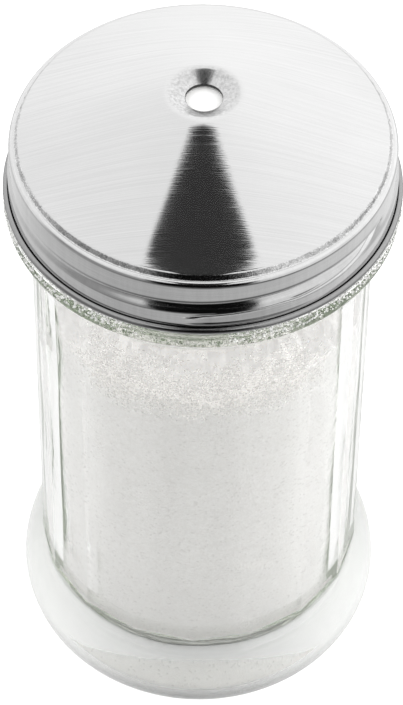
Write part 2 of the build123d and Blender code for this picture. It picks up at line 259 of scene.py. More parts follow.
STRIP_TILT = 1.5
STRIP_SOFTNESS = (0.012, 0.07)  # of its edges, overhead and low in front
STRIP_SOFTENING = (45, 70)  # angles over which they soften
STRIP_LEVELS = (0.027, 0.003)  # overhead, and low in front
STRIP_DARKENING = (20, 50)
STRIP_IN_GLASS = 0.4  # how much of the strip's darkness shows through glass

FLOOR_HALF = 3.0  # metres, as are the floor's other lengths
FLOOR_Z = -0.0003
MIRRORED_FLOOR_Z = -0.0002
FLOOR_SEEN = 0.8  # the floor's own light where the camera sees it
FLOOR_GLOW = (0.02, 0.44)  # elsewhere, in front of the jar, and beside it and behind it
FLOOR_BENEATH = 0.8  # and under the jar's middle
FLOOR_BENEATH_RUN = (0.004, 0.022)
FLOOR_BEHIND_RUN = (0.0, 0.05)
FLOOR_MIDDLE = 0.025  # nearer to the axis than this, the direction counts for less
MIRRORED_MIDDLE = 0.01
MIRRORED_MIDWAY = (0.85, 0.5, -0.9, 0.9)  # levels behind and ahead, and the directions' forward parts there
MIRRORED_FAR = (0.8, 0.13, -0.6, 0.95)
MIRRORED_FAR_RUN = (0.16, 0.34)
MIRRORED_BRIGHTER_RIGHT = 0.08
MIRRORED_NEAR = (0.9, 0.0, 0.06, 0.14)  # shares of the near level, and the distances they hold at
MIRRORED_NEAR_LEVEL = 0.95

# ---------------------------------- camera
CAMERA_PLACE = (0.0, -0.4523, 0.6156)
CAMERA_DOWN = 0.87156
CAMERA_ROLL = 0.01207
CAMERA_LENS = 177.7
CAMERA_SENSOR = 36.0
CAMERA_SHIFT = 0.0008
CAMERA_NEAR = 0.01
BOUNCES_IN_GLASS = 96
BOUNCES_THROUGH_GRAINS = 16
BOUNCES_OF_MATT_LIGHT = 6


# ------------------------------ mesh tools
def new_piece(name, data):
    """An object in the scene that shows a mesh or holds a camera."""
    piece = bpy.data.objects.new(name, data)
    bpy.context.scene.collection.objects.link(piece)
    return piece


def hide_from(piece, *kinds):
    """Keep a piece out of the light paths of these kinds."""
    for kind in kinds:
        setattr(piece, "visible_" + kind, False)


def build_mesh(name, rows, first_pole=None, last_pole=None, loop=False):
    """Closed mesh from rings of points: rows is (rings, columns, 3) in millimetres.

    A pole closes an end with one point; loop joins the last ring to the first.
    """
    rings, columns = rows.shape[:2]
    points = (rows.reshape(-1, 3) * MM).tolist()
    faces = []
    for i in range(rings if loop else rings - 1):
        low, high = i * columns, (i + 1) % rings * columns
        for j in range(columns):
            k = (j + 1) % columns
            faces.append((low + j, low + k, high + k, high + j))
    for pole, ring, turned in ((first_pole, 0, True), (last_pole, rings - 1, False)):
        if pole is None:
            continue
        points.append([c * MM for c in pole])
        tip = len(points) - 1
        for j in range(columns):
            edge = (ring * columns + j, ring * columns + (j + 1) % columns)
            faces.append((tip, edge[1], edge[0]) if turned else (edge[0], edge[1], tip))
    mesh = bpy.data.meshes.new(name)
    mesh.from_pydata(points, [], faces)
    mesh.polygons.foreach_set("use_smooth", [True] * len(faces))
    mesh.update()
    return new_piece(name, mesh)


def rounded_path(corners, arc_step=8.0, run_step=4.0):
    """Points along a profile of (radius, height, round) corners, with arcs at the rounds."""
    spots = [np.array(c[:2], float) for c in corners]
    path = [spots[0]]

    def run_to(end):
        start = path[-1]
        pieces = max(1, math.ceil(np.linalg.norm(end - start) / run_step))
        for n in range(1, pieces + 1):
            path.append(start + (end - start) * n / pieces)

    for i in range(1, len(corners) - 1):
        radius = corners[i][2]
        into = spots[i] - spots[i - 1]
        out = spots[i + 1] - spots[i]
        into /= np.linalg.norm(into)
        out /= np.linalg.norm(out)
        turn = math.atan2(into[0] * out[1] - into[1] * out[0], into @ out)
        if radius == 0 or abs(turn) < 1e-6:
            run_to(spots[i])
            continue
        reach = radius * math.tan(abs(turn) / 2)
        run_to(spots[i] - into * reach)
        side = np.array([-into[1], into[0]]) * math.copysign(radius, turn)
        centre = path[-1] + side
        spoke = -side
        steps = max(2, math.ceil(math.degrees(abs(turn)) / arc_step))
        for n in range(1, steps + 1):
            a = turn * n / steps
            path.append(centre + np.array([
                spoke[0] * math.cos(a) - spoke[1] * math.sin(a),
                spoke[0] * math.sin(a) + spoke[1] * math.cos(a),
            ]))
    run_to(spots[-1])
    return np.array(path)


def all_round(values, azimuth):
    """The same value at every azimuth, as one row for each value."""
    return np.asarray(values, float)[:, None] + 0 * azimuth[None, :]


def rings(radius, height, azimuth):
    """Rows of points from radius and height, each (rings, columns), at azimuths in degrees."""
    a = np.radians(azimuth)[None, :]
    return np.stack([radius * np.sin(a), -radius * np.cos(a), height + 0 * a], axis=-1)


def profile_rings(path, azimuth):
    """Radius and height of every point where a profile of (radius, height) goes round the axis."""
    return all_round(path[:, 0], azimuth), all_round(path[:, 1], azimuth)


def smoothstep(low, high, value):
    """0 up to low, 1 from high on, and an S-curve between; low may lie above high."""
    t = np.clip((value - low) / (high - low), 0, 1)
    return t * t * (3 - 2 * t)


def smooth_max(a, b, blend):
    """The larger of two values, with the corner between them rounded over blend."""
    h = np.clip(0.5 + 0.5 * (a - b) / blend, 0, 1)
    return b + (a - b) * h + blend * h * (1 - h)


def waves(azimuth, height, length, seed, terms=9):
    """Smooth unevenness round the jar, about -1 to 1, of roughly the given length."""
    random = np.random.default_rng(seed)
    total = 0
    around = 2 * math.pi * PANEL_CORNER_RADIUS / length
    for _ in range(terms):
        turns = round(random.uniform(-around, around))
        climb = random.uniform(-1, 1) * 2 * math.pi / length
        total = total + np.sin(np.radians(azimuth) * turns + height * climb + random.uniform(0, TURN))
    return total / math.sqrt(terms)


def field(x, y, length, seed, terms=14):
    """Smooth unevenness of a level surface, about -1 to 1, of roughly the given length."""
    random = np.random.default_rng(seed)
    total = 0
    for _ in range(terms):
        heading = random.uniform(0, 2 * math.pi)
        pull = 2 * math.pi / length * random.uniform(0.6, 1.3)
        along = x * math.cos(heading) + y * math.sin(heading)
        total = total + np.sin(pull * along + random.uniform(0, TURN))
    return total / math.sqrt(terms)


# ------------------------------- materials
class Nodes:
    """A node tree, with short calls to add and join nodes."""

    def __init__(self, tree):
        self.tree = tree

    def add(self, kind, inputs=None, **settings):
        node = self.tree.nodes.new("ShaderNode" + kind)
        for key, value in settings.items():
            setattr(node, key, value)
        for key, value in (inputs or {}).items():
            self.feed(node.inputs[key], value)
        return node

    def feed(self, socket, value):
        if isinstance(value, bpy.types.NodeSocket):
            self.tree.links.new(value, socket)
        else:
            socket.default_value = value

    def math(self, operation, a, b=0.0, c=0.0):
        return self.add("Math", {0: a, 1: b, 2: c}, operation=operation).outputs[0]

    def remap(self, value, low, high, start=0.0, end=1.0, **settings):
        """From low to high as the value goes from start to end."""
        inputs = {"Value": value, "From Min": start, "From Max": end, "To Min": low, "To Max": high}
        return self.add("MapRange", inputs, **settings).outputs[0]

    def blend(self, share, first, second):
        """From the first number to the second as the share goes from 0 to 1."""
        return self.add("Mix", {0: share, 2: first, 3: second}).outputs[0]

    def spot(self, space="Object"):
        """A point's x, y and z in one of the texture spaces."""
        return self.add("SeparateXYZ", {"Vector": self.add("TexCoord").outputs[space]}).outputs


class Finish(Nodes):
    """A new material, whose nodes end in its Principled shader."""

    def __init__(self, name):
        self.material = bpy.data.materials.new(name)
        self.material.use_nodes = True
        super().__init__(self.material.node_tree)
        self.shader = self.tree.nodes["Principled BSDF"]
        self.output = self.tree.nodes["Material Output"]

    def set(self, **values):
        for key, value in values.items():
            self.feed(self.shader.inputs[key.replace("_", " ")], value)

    def place(self, scale):
        """The object's own coordinates, stretched by a scale for each axis."""
        own = self.add("TexCoord").outputs["Object"]
        return self.add("Mapping", {"Vector": own, "Scale": scale}).outputs[0]

    def around_axis(self):
        """A point's x and y, and its distance from the upright axis."""
        x, y, _ = self.spot()
        squares = self.math("ADD", self.math("MULTIPLY", x, x), self.math("MULTIPLY", y, y))
        return x, y, self.math("SQRT", squares)

    def noise(self, scale, detail=2.0, roughness=0.5):
        inputs = {"Vector": self.place(scale), "Scale": 1.0, "Detail": detail, "Roughness": roughness}
        return self.add("TexNoise", inputs).outputs["Fac"]

    def crystals(self, scale):
        """Cells like packed crystals: three dice for each, and a point's distance from its middle."""
        cells = self.add("TexVoronoi", {"Vector": self.place(grey(scale)), "Scale": 1.0}, feature="F1")
        dice = self.add("SeparateColor", {"Color": cells.outputs["Color"]}).outputs
        return dice, cells.outputs["Distance"]

    def mix(self, share, first, second):
        """From the first colour to the second as the share goes from 0 to 1."""
        return self.add("Mix", {0: share, 6: first, 7: second}, data_type="RGBA").outputs[2]

    def tint(self, value, dark, light):
        return self.mix(value, (*dark, 1), (*light, 1))

    def bump(self, height, depth):
        return self.add("Bump", {"Height": height, "Distance": depth, "Strength": 1.0}).outputs[0]


def grey(level):
    return (level, level, level)


def brushed_top():
    """Steel brushed in straight lines along X, and duller in the dimple, which the brush misses."""
    n = Finish("brushed_steel_top")
    fine = n.noise((22, 5200, 0), detail=3, roughness=0.6)
    broad = n.noise((9, 1300, 0), detail=2)
    cloud = n.noise((45, 70, 0), detail=3)
    pits = n.noise(grey(1500.0), detail=3, roughness=0.7)
    both = n.math("ADD", n.math("MULTIPLY", fine, 0.75), n.math("MULTIPLY", broad, 0.25))
    level = n.math("ADD", both, n.math("MULTIPLY", cloud, 0.35))
    _, _, away = n.around_axis()
    dull = n.remap(away, 1.0, 0.0, *(radius * MM for radius in DULL_RUN))
    brushed = n.tint(n.remap(level, 0, 1, 0.45, 0.95), grey(0.67), grey(0.79))
    pitted = n.tint(n.remap(pits, 0, 1, 0.35, 0.65), grey(0.52), grey(0.74))
    depth = n.remap(away, *BRUSH_DEPTHS, *(radius * MM for radius in BRUSH_DEPTH_RUN))
    n.set(
        Base_Color=n.mix(dull, brushed, pitted),
        Metallic=0.985,
        Roughness=n.math("MULTIPLY_ADD", dull, 0.1, n.remap(fine, 0.04, 0.065, 0.3, 0.7)),
        Anisotropic=0.5,
        Normal=n.bump(both, n.math("MULTIPLY_ADD", dull, -BRUSH_LOST_IN_DIMPLE, depth)),
        Tangent=n.add("Tangent", direction_type="UV_MAP", uv_map="brush").outputs[0],
    )
    return n.material


def rolled_skirt():
    """Bright rolled steel, with faint rolling lines round the lid."""
    n = Finish("rolled_steel_skirt")
    lines = n.noise((70, 70, 4200), detail=3, roughness=0.6)
    ticks = n.noise((900, 900, 90), detail=2)
    level = n.math("ADD", n.math("MULTIPLY", lines, 0.6), n.math("MULTIPLY", ticks, 0.4))
    n.set(
        Base_Color=n.tint(n.remap(level, 0, 1, 0.35, 0.65), grey(0.70), grey(0.80)),
        Metallic=1.0,
        Roughness=n.remap(lines, 0.07, 0.15, 0.3, 0.7),
        Normal=n.bump(level, 8 * MICRON),
    )
    return n.material


def scuffed_edge():
    """Speckled steel where the sheet is pressed into its step, light and dark side by side."""
    n = Finish("scuffed_steel_edge")
    specks = n.noise(grey(3800.0), detail=3, roughness=0.7)
    patches = n.noise(grey(700.0), detail=2)
    level = n.math("ADD", n.math("MULTIPLY", specks, 0.7), n.math("MULTIPLY", patches, 0.3))
    n.set(
        Base_Color=n.tint(n.remap(level, 0, 1, 0.4, 0.6), grey(0.4), grey(0.95)),
        Metallic=1.0,
        Roughness=n.remap(specks, 0.08, 0.2, 0.35, 0.65),
        Normal=n.bump(specks, 20 * MICRON),
    )
    return n.material


def drawn_steel(name, tones=(0.55, 0.68), roughness=(0.22, 0.36)):
    """Steel with fine lines along Z: the pins as drawn, the lid's curled edge darkened as painted shade, and
    near-black painted shade in its crevice and round its pour hole.
    """
    n = Finish(name)
    lines = n.noise((4000, 4000, 120), detail=2)
    n.set(
        Base_Color=n.tint(lines, grey(tones[0]), grey(tones[1])),
        Metallic=1.0,
        Roughness=n.remap(lines, *roughness),
        Normal=n.bump(lines, 10 * MICRON),
    )
    return n.material


def clear_glass():
    """Pressed glass with a faint ripple, which turns green where it is thick."""
    n = Finish("clear_glass")
    ripple = n.noise((60, 60, 26), detail=2)
    orange_peel = n.noise((420, 420, 300), detail=1)
    height = n.math("ADD", ripple, n.math("MULTIPLY", orange_peel, 0.06))
    n.set(
        Base_Color=(1, 1, 1, 1),
        Roughness=0.0,
        IOR=1.52,
        Transmission_Weight=1.0,
        Normal=n.bump(height, 220 * MICRON),
    )
    body = n.add("VolumeAbsorption", {"Color": (0.52, 0.60, 0.46, 1), "Density": 8.0})
    n.tree.links.new(body.outputs[0], n.output.inputs["Volume"])
    return n.material


def sugar_grains():
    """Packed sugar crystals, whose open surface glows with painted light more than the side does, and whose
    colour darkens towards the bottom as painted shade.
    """
    n = Finish("sugar_grains")
    (lottery, _, _), from_middle = n.crystals(2600.0)
    clumps = n.noise(grey(160.0), detail=4, roughness=0.65)
    shade = n.math("ADD", n.math("MULTIPLY", lottery, 0.6), n.math("MULTIPLY", clumps, 0.4))
    # painted light: faces that point up glow, in place of light carried through the crystals
    facing_up = n.spot("Normal")[2]
    painted_glow_up = n.remap(facing_up, 0.0, 1.0, 0.2, 0.8)
    height = n.spot()[2]
    # painted shade: the grains darken towards the jar's floor, over the lowest 50 mm
    low = n.remap(height, 0.8, 0.0, 0.0, 0.05)
    grains = n.tint(shade, (0.83, 0.815, 0.79), (1.0, 0.99, 0.975))
    n.set(
        Base_Color=n.mix(low, grains, (0.76, 0.75, 0.73, 1)),
        Roughness=n.remap(lottery, 0.25, 0.7),
        Specular_IOR_Level=0.6,
        Normal=n.bump(from_middle, 60 * MICRON),
        Emission_Color=(1.0, 0.965, 0.95, 1),
        Emission_Strength=n.math("MULTIPLY", painted_glow_up, 0.26),
    )
    return n.material


def crystals_on_glass():
    """Single crystals that touch the glass, thinning out above the sugar's level."""
    n = Finish("crystals_on_glass")
    (lottery, tone, gloss), from_middle = n.crystals(2500.0)
    across, _, height = n.spot()

    def fade(value, low, high, run):
        return n.remap(value, low, high, run[0] * MM, run[1] * MM)

    outward = fade(n.math("ABSOLUTE", across), 0.0, 1.0, CLING_SIDES)
    beside = n.math("MULTIPLY", outward, fade(height, 1.0, 0.0, CLING_ALL_ROUND))
    patches = n.remap(n.noise(grey(230.0), detail=3, roughness=0.6), -0.35, 0.35, 0.3, 0.7)
    drift = n.remap(n.noise(grey(900.0), detail=2), 0, 0.5, 0.25, 0.75)
    chance = n.math("MULTIPLY_ADD", lottery, 0.5, drift)
    rising = fade(height, 0.0, 0.5, (CLING_LOW, CLING_FULL))
    thinning = fade(height, 1.0, 0.0, (CLING_FULL, CLING_THINNED))
    thinning = n.math("SUBTRACT", thinning, beside)
    density = n.math("MULTIPLY", n.math("ADD", thinning, patches), rising)
    n.set(
        Base_Color=n.tint(tone, (0.90, 0.88, 0.85), (0.97, 0.955, 0.94)),
        Roughness=n.remap(gloss, 0.3, 0.6),
        # painted light: the crystals glow a little, so they read as bright specks
        Emission_Color=(1.0, 0.96, 0.93, 1),
        Emission_Strength=0.14,
        Alpha=n.remap(n.math("SUBTRACT", density, chance), 0, 1, -0.2, 0.2),
        Normal=n.bump(from_middle, 30 * MICRON),
    )
    return n.material


def spilled_sugar():
    """Loose crystals, half clear."""
    n = Finish("spilled_sugar")
    tone = n.noise(grey(900.0), detail=2)
    n.set(
        Base_Color=n.tint(n.remap(tone, 0, 1, 0.3, 0.7), (0.80, 0.80, 0.78), (0.97, 0.97, 0.96)),
        Roughness=n.remap(tone, 0.08, 0.3),
        Transmission_Weight=0.35,
        IOR=1.55,
    )
    return n.material


def moulded_plastic(name, colour):
    """Satin plastic with a fine grain from the mould."""
    n = Finish(name)
    grain = n.noise(grey(2600.0), detail=2)
    cloud = n.noise(grey(90.0), detail=2)
    n.set(
        Base_Color=n.tint(cloud, [c * 0.95 for c in colour], colour),
        Roughness=n.remap(grain, 0.38, 0.5),
        Normal=n.bump(grain, 10 * MICRON),
        Specular_IOR_Level=0.45,
    )
    return n.material


def soft_rubber():
    """Pale matt rubber."""
    n = Finish("soft_rubber")
    grain = n.noise(grey(1900.0), detail=3)
    n.set(
        Base_Color=n.tint(grain, (0.70, 0.70, 0.68), (0.80, 0.80, 0.78)),
        Roughness=n.remap(grain, 0.55, 0.75),
        Normal=n.bump(grain, 30 * MICRON),
    )
    return n.material


# ------------------------------------- jar
def panel_columns():
    """Azimuths round the jar, dense at the corners between panels."""
    t = np.arange(PANEL_SAMPLES) / PANEL_SAMPLES
    share = t - PANEL_CROWDING * np.sin(2 * math.pi * t)
    step = 360 / PANEL_COUNT
    panels = np.arange(PANEL_COUNT)[:, None]
    return (PANEL_CORNER_AZIMUTH + (panels + share[None, :]) * step).ravel()


def panel_radius(azimuth):
    """Radius of the panelled body: flats with rounded corners between them."""
    half = math.pi / PANEL_COUNT
    flat = PANEL_CORNER_RADIUS * math.cos(half)
    step = 2 * half
    from_corner = (np.radians(azimuth - PANEL_CORNER_AZIMUTH) + half) % step - half
    from_middle = half - np.abs(from_corner)
    straight = flat / np.cos(from_middle)
    centre = (flat - PANEL_EDGE_ROUND) / math.cos(half)
    across = centre * np.sin(from_corner)
    on_round = np.abs(across) < PANEL_EDGE_ROUND * math.sin(half) * centre / PANEL_CORNER_RADIUS
    reach = np.sqrt(np.maximum(PANEL_EDGE_ROUND ** 2 - across ** 2, 0))
    panelled = np.where(on_round, centre * np.cos(from_corner) + reach, straight)
    round_jar = panelled.max()
    return round_jar + PANEL_FLATNESS * (panelled - round_jar)


def foot_radius_at(height):
    """Radius of the bulging foot, whose two arcs meet at its widest height."""
    rise = FOOT_TOP - FOOT_WIDEST
    narrowing = FOOT_RADIUS - PANEL_CORNER_RADIUS
    upper = (rise ** 2 + narrowing ** 2) / (2 * narrowing)
    below = np.clip(FOOT_WIDEST - height, 0, FOOT_WIDEST)
    above = np.clip(height - FOOT_WIDEST, 0, upper)
    low = RING_OUTER + np.sqrt(FOOT_WIDEST ** 2 - below ** 2)
    high = FOOT_RADIUS - upper + np.sqrt(upper ** 2 - above ** 2)
    return np.where(height < FOOT_WIDEST, low, high)


def ridge_on_neck(azimuth, height):
    """How far the screw thread stands out of the neck."""
    low_end, high_end = RIDGE_RUN
    stand = 0
    for turn in (-1, 0, 1):
        a = azimuth + 360 * turn
        middle = RIDGE_FRONT_Z + PITCH * a / 360
        profile = smoothstep(RIDGE_HALF_WIDTH, RIDGE_CREST_HALF_WIDTH, np.abs(height - middle))
        ends = smoothstep(low_end, low_end + RIDGE_END, a) * smoothstep(high_end, high_end - RIDGE_END, a)
        stand = np.maximum(stand, RIDGE_HEIGHT * profile * ends)
    return stand


def jar_outside(azimuth):
    """Rings from the standing ring up to the collar."""
    turn = np.radians(np.linspace(0, 90, FOOT_RINGS))
    heights = np.concatenate([
        FOOT_WIDEST * (1 - np.cos(turn)),
        np.arange(FOOT_WIDEST + FOOT_ROW, WAIST[0], FOOT_ROW),
        np.arange(*WAIST, WAIST_ROW),
        np.arange(WAIST[1], BODY_TOP - COLLAR_FLARE - COLLAR_FLARE_GAP, BODY_ROW),
    ])
    z = all_round(heights, azimuth)
    panels = panel_radius(azimuth)[None, :] + 0 * z
    foot = foot_radius_at(z)
    radius = np.where(z < PANELS_FROM, foot, smooth_max(foot, panels, WAIST_ROUND))
    radius = np.where(z > WAIST[1], panels, radius)
    uneven = GLASS_WAVE * waves(azimuth[None, :], z, *OUTER_WAVES)
    radius = radius + uneven * smoothstep(*OUTER_WAVES_RISE, z) * smoothstep(*OUTER_WAVES_FALL, z)
    return radius, z


def collar_and_neck(azimuth):
    """Rings of the glass collar and of the threaded neck."""
    neck_foot = COLLAR_TOP + NECK_FOOT_HEIGHT
    collar = rounded_path(
        [
            (PANEL_CORNER_RADIUS - COLLAR_FLARE_SINK, BODY_TOP - COLLAR_FLARE, 0),
            (COLLAR_RADIUS, BODY_TOP, SHOULDER_ROUND),
            (COLLAR_RADIUS, COLLAR_TOP, COLLAR_ROUND),
            (NECK_RADIUS, COLLAR_TOP, NECK_FOOT_ROUND),
            (NECK_RADIUS, neck_foot, 0),
        ],
        run_step=COLLAR_ROW,
    )
    neck_z = np.arange(neck_foot + 2 * ROW_GAP, JAR_TOP - LIP_ROUND - ROW_GAP, NECK_ROW)
    radius = all_round(np.concatenate([collar[:, 0], np.full(len(neck_z), NECK_RADIUS)]), azimuth)
    z = all_round(np.concatenate([collar[:, 1], neck_z]), azimuth)
    panels = panel_radius(azimuth)[None, :]
    radius = np.where(z < BODY_TOP - 2 * ROW_GAP, np.maximum(radius, panels), radius)
    on_neck = smoothstep(*RIDGE_FROM, z - neck_foot)
    return radius + on_neck * ridge_on_neck(azimuth[None, :], z), z


def inner_profile(inset=0.0):
    """Inside wall of the jar, from the mouth down to the floor."""
    return [
        (NECK_BORE - inset, JAR_TOP - LIP_ROUND, 0),
        (NECK_BORE - inset, BODY_TOP, BORE_ROUND),
        (BODY_BORE - inset, BODY_TOP - NECK_BORE_FLARE, NECK_BORE_ROUND),
        (BODY_BORE - inset, FOOT_TOP, BORE_ROUND),
        (FOOT_BORE - inset, FLOOR_HEIGHT + FLOOR_ROUND, BORE_ROUND),
        (FOOT_BORE - inset, FLOOR_HEIGHT + inset, FLOOR_ROUND - FLOOR_ROUND_SLACK),
        (AXIS_GAP, FLOOR_HEIGHT + inset, 0),
    ]


def inner_wall(azimuth, inset=0.0, top=math.inf, low=-math.inf):
    """Rings of the jar's slightly wavy inside, from the mouth or a height down to the floor."""
    path = rounded_path(inner_profile(inset), run_step=3.0)[1:]
    radius, z = profile_rings(path[(path[:, 1] < top) & (path[:, 1] > low)], azimuth)
    fade = smoothstep(*INNER_WAVES_RISE, z)
    return radius + INNER_WAVINESS * GLASS_WAVE * fade * waves(azimuth[None, :], z, *INNER_WAVES), z


def make_jar():
    """The glass jar, closed from the recess under it round to its floor."""
    azimuth = panel_columns()
    recess = rounded_path(
        [
            (AXIS_GAP, RECESS_DEPTH, 0),
            RECESS_BEND,
            (RING_INNER, 0, RING_ROUND),
            (RING_OUTER - ROW_GAP, 0, 0),
        ],
        run_step=3.0,
    )
    lip = rounded_path([
        (NECK_RADIUS, JAR_TOP - LIP_ROUND, 0),
        (NECK_RADIUS, JAR_TOP, LIP_ROUND),
        (NECK_BORE, JAR_TOP, LIP_ROUND),
        (NECK_BORE, JAR_TOP - LIP_ROUND - ROW_GAP, 0),
    ])
    parts = [
        profile_rings(recess, azimuth),
        jar_outside(azimuth),
        collar_and_neck(azimuth),
        profile_rings(lip, azimuth),
        inner_wall(azimuth),
    ]
    rows = np.concatenate([rings(r, z, azimuth) for r, z in parts])
    jar = build_mesh("glass_jar_looks", rows, (0, 0, RECESS_DEPTH), (0, 0, FLOOR_HEIGHT))
    jar.data.materials.append(clear_glass())
    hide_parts("glass_jar")
    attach(jar, "jar")


def make_crystals_on_glass():
    """A thin coat of crystals pressed to the inside of the glass, which lets the light through."""
    azimuth = panel_columns()
    walls = [inner_wall(azimuth, side * CLING_BITE, CLING_TOP, CLING_LOW) for side in (-1, 1)]
    outer, inner = (rings(radius, z, azimuth) for radius, z in walls)
    coat = build_mesh("crystals_on_glass", np.concatenate([outer, inner[::-1]])[::-1], loop=True)
    coat.data.materials.append(crystals_on_glass())
    hide_from(coat, "shadow", "diffuse")
    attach(coat, "jar")


def spilled_density(azimuth):
    """Share of the crystals kept at an azimuth: few in front, and half of them behind."""
    kept = smoothstep(*SPILLED_FROM_FRONT, abs(azimuth - SPILLED_FRONT))
    return kept * (1 - 0.5 * smoothstep(*SPILLED_BEHIND, abs(azimuth))) + SPILLED_STRAY


def spilled_place(azimuth, drop, size):
    """Middle of a crystal: on the collar's rounded edge for a small drop, below it for a large one."""
    first, span = SPILLED_ROUND_EDGE
    turn = math.radians(first + span * min(drop * SPILLED_SPREAD, 1))
    round_edge = COLLAR_ROUND + size * SPILLED_STAND
    reach = min(COLLAR_RADIUS - COLLAR_ROUND + round_edge * math.sin(turn), SPILLED_REACH)
    below = SPILLED_FALL * max(drop - SPILLED_OVER_EDGE, 0)
    z = COLLAR_TOP - COLLAR_ROUND + round_edge * math.cos(turn) - below
    return np.array([reach * math.sin(math.radians(azimuth)), -reach * math.cos(math.radians(azimuth)), z])


def make_spilled_grains():
    """Crystals spilled on the glass collar, thick at the sides and thin in front."""
    random = np.random.default_rng(SPILLED_SEED)
    cube = np.array([(x, y, z) for z in (-1, 1) for x, y in ((-1, -1), (1, -1), (1, 1), (-1, 1))], float)
    sides = [(3, 2, 1, 0), (4, 5, 6, 7), (0, 1, 5, 4), (1, 2, 6, 5), (2, 3, 7, 6), (3, 0, 4, 7)]
    points, faces = [], []
    while len(points) < len(cube) * SPILLED_COUNT:
        azimuth = random.uniform(-180, 180)
        drop = random.uniform(0, 1) ** SPILLED_BUNCHING
        size = random.uniform(*SPILLED_SIZE) * (1 - SPILLED_SHRINK * drop)
        if random.uniform(0, 1) > spilled_density(azimuth):
            continue
        spin = Matrix.Rotation(random.uniform(0, TURN), 3, random.normal(size=3))
        shape = cube * size * random.uniform(*SPILLED_STRETCH, (1, 3)) * random.uniform(*SPILLED_SKEW, (8, 1))
        start = len(points)
        points.extend(((shape @ np.array(spin).T + spilled_place(azimuth, drop, size)) * MM).tolist())
        faces.extend([tuple(start + c for c in side) for side in sides])
    mesh = bpy.data.meshes.new("spilled_grains")
    mesh.from_pydata(points, [], faces)
    mesh.update()
    mesh.materials.append(spilled_sugar())
    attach(new_piece("spilled_grains", mesh), "jar")


def make_sugar():
    """The sugar that fills the jar to two thirds, just clear of the glass."""
    azimuth = np.arange(0, 360, SUGAR_COLUMN)
    wall = rounded_path(inner_profile(SUGAR_GAP), run_step=2.5)
    side = wall[wall[:, 1] < SUGAR_SIDE_END][::-1]
    radius, z = profile_rings(side, azimuth)
    top_r = np.concatenate([[BODY_BORE - SUGAR_GAP] * 2, np.arange(*SUGAR_RINGS)])
    r = all_round(top_r, azimuth)
    x = r * np.sin(np.radians(azimuth))
    y = -r * np.cos(np.radians(azimuth))
    lumps = sum(height * field(x, y, length, seed) for height, length, seed in SUGAR_LUMPS)
    mound = SUGAR_MOUND * (1 - (top_r / BODY_BORE) ** 2)[:, None]
    top_z = SUGAR_LEVEL + lumps + mound
    top_z[0] -= SUGAR_EDGE_DROP
    rows = np.concatenate([rings(radius, z, azimuth), rings(r, top_z, azimuth)])
    middle = (0, 0, float(top_z[-1].mean()))
    sugar = build_mesh("sugar", rows, (0, 0, FLOOR_HEIGHT + SUGAR_GAP), middle)
    sugar.data.materials.append(sugar_grains())
    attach(sugar, "jar")


# ------------------------------------- lid
def groove(azimuth, height):
    """How far the skirt stands in, below zero, or out, at its rolled thread."""
    offset = 0 * azimuth * height
    for start, end in GROOVE_RUNS:
        a = (azimuth - start + GROOVE_LEAD) % 360 + start - GROOVE_LEAD
        below = GROOVE_FRONT_Z + PITCH * a / 360 - height
        inward = -GROOVE_DEPTH * smoothstep(*GROOVE_UPPER, below) * smoothstep(*GROOVE_LOWER, below)
        brow = GROOVE_BROW * smoothstep(*GROOVE_BROW_UPPER, below) * smoothstep(*GROOVE_BROW_LOWER, below)
        deepening = smoothstep(start - GROOVE_RUN_BEFORE, start + GROOVE_RUN_IN, a)
        swelling = smoothstep(start, start + GROOVE_BROW_RUN_IN, a)
        closing = smoothstep(end + GROOVE_RUN_OUT[0], end + GROOVE_RUN_OUT[1], a)
        offset = offset + inward * deepening * closing + brow * swelling * closing
    return offset


def lower_crease(azimuth, height):
    """The thin crease under the front groove, which joins the groove's end."""
    a, z = np.array(LOWER_CREASE).T
    above = height - np.interp(azimuth, a, z)

    def swell_at(offset):
        return smoothstep(CREASE_SWELL_HALF_WIDTH, 0.0, np.abs(above - offset))

    def between(ends):
        return smoothstep(*ends[0], azimuth) * smoothstep(*ends[1], azimuth)

    cut = -CREASE_DEPTH * smoothstep(*CREASE_HALF_WIDTH, np.abs(above))
    swell = CREASE_SWELL * (swell_at(CREASE_SWELL_AT) + swell_at(-CREASE_SWELL_AT))
    span = np.interp(azimuth, a, z) - CREVICE_LOW
    under = smoothstep(CREASE_LEAN_EDGE, -CREASE_LEAN_EDGE, above)
    lean = -CREASE_LEAN * between(CREASE_LEAN_ENDS) * under * np.clip(1 + above / span, 0, 1)
    return between(CREASE_ENDS) * (cut + swell) + lean


def flare_at(height):
    """How far the skirt stands out over its rolled lower edge."""
    return FLARE * smoothstep(*FLARE_RUN, height)


def eased_cone():
    """Corners where the cone gets flatter near the step, and the height at which it ends."""
    corners = []
    z = DISC_EDGE_Z + CONE_SLOPE * (DISC_RADIUS - EASE[0][0])
    for (radius, degrees), end in zip(EASE, [r for r, _ in EASE[1:]] + [STEP_RADIUS]):
        corners.append((radius, z, EASE_ROUND))
        z -= math.tan(math.radians(degrees)) * (end - radius)
    return corners, z


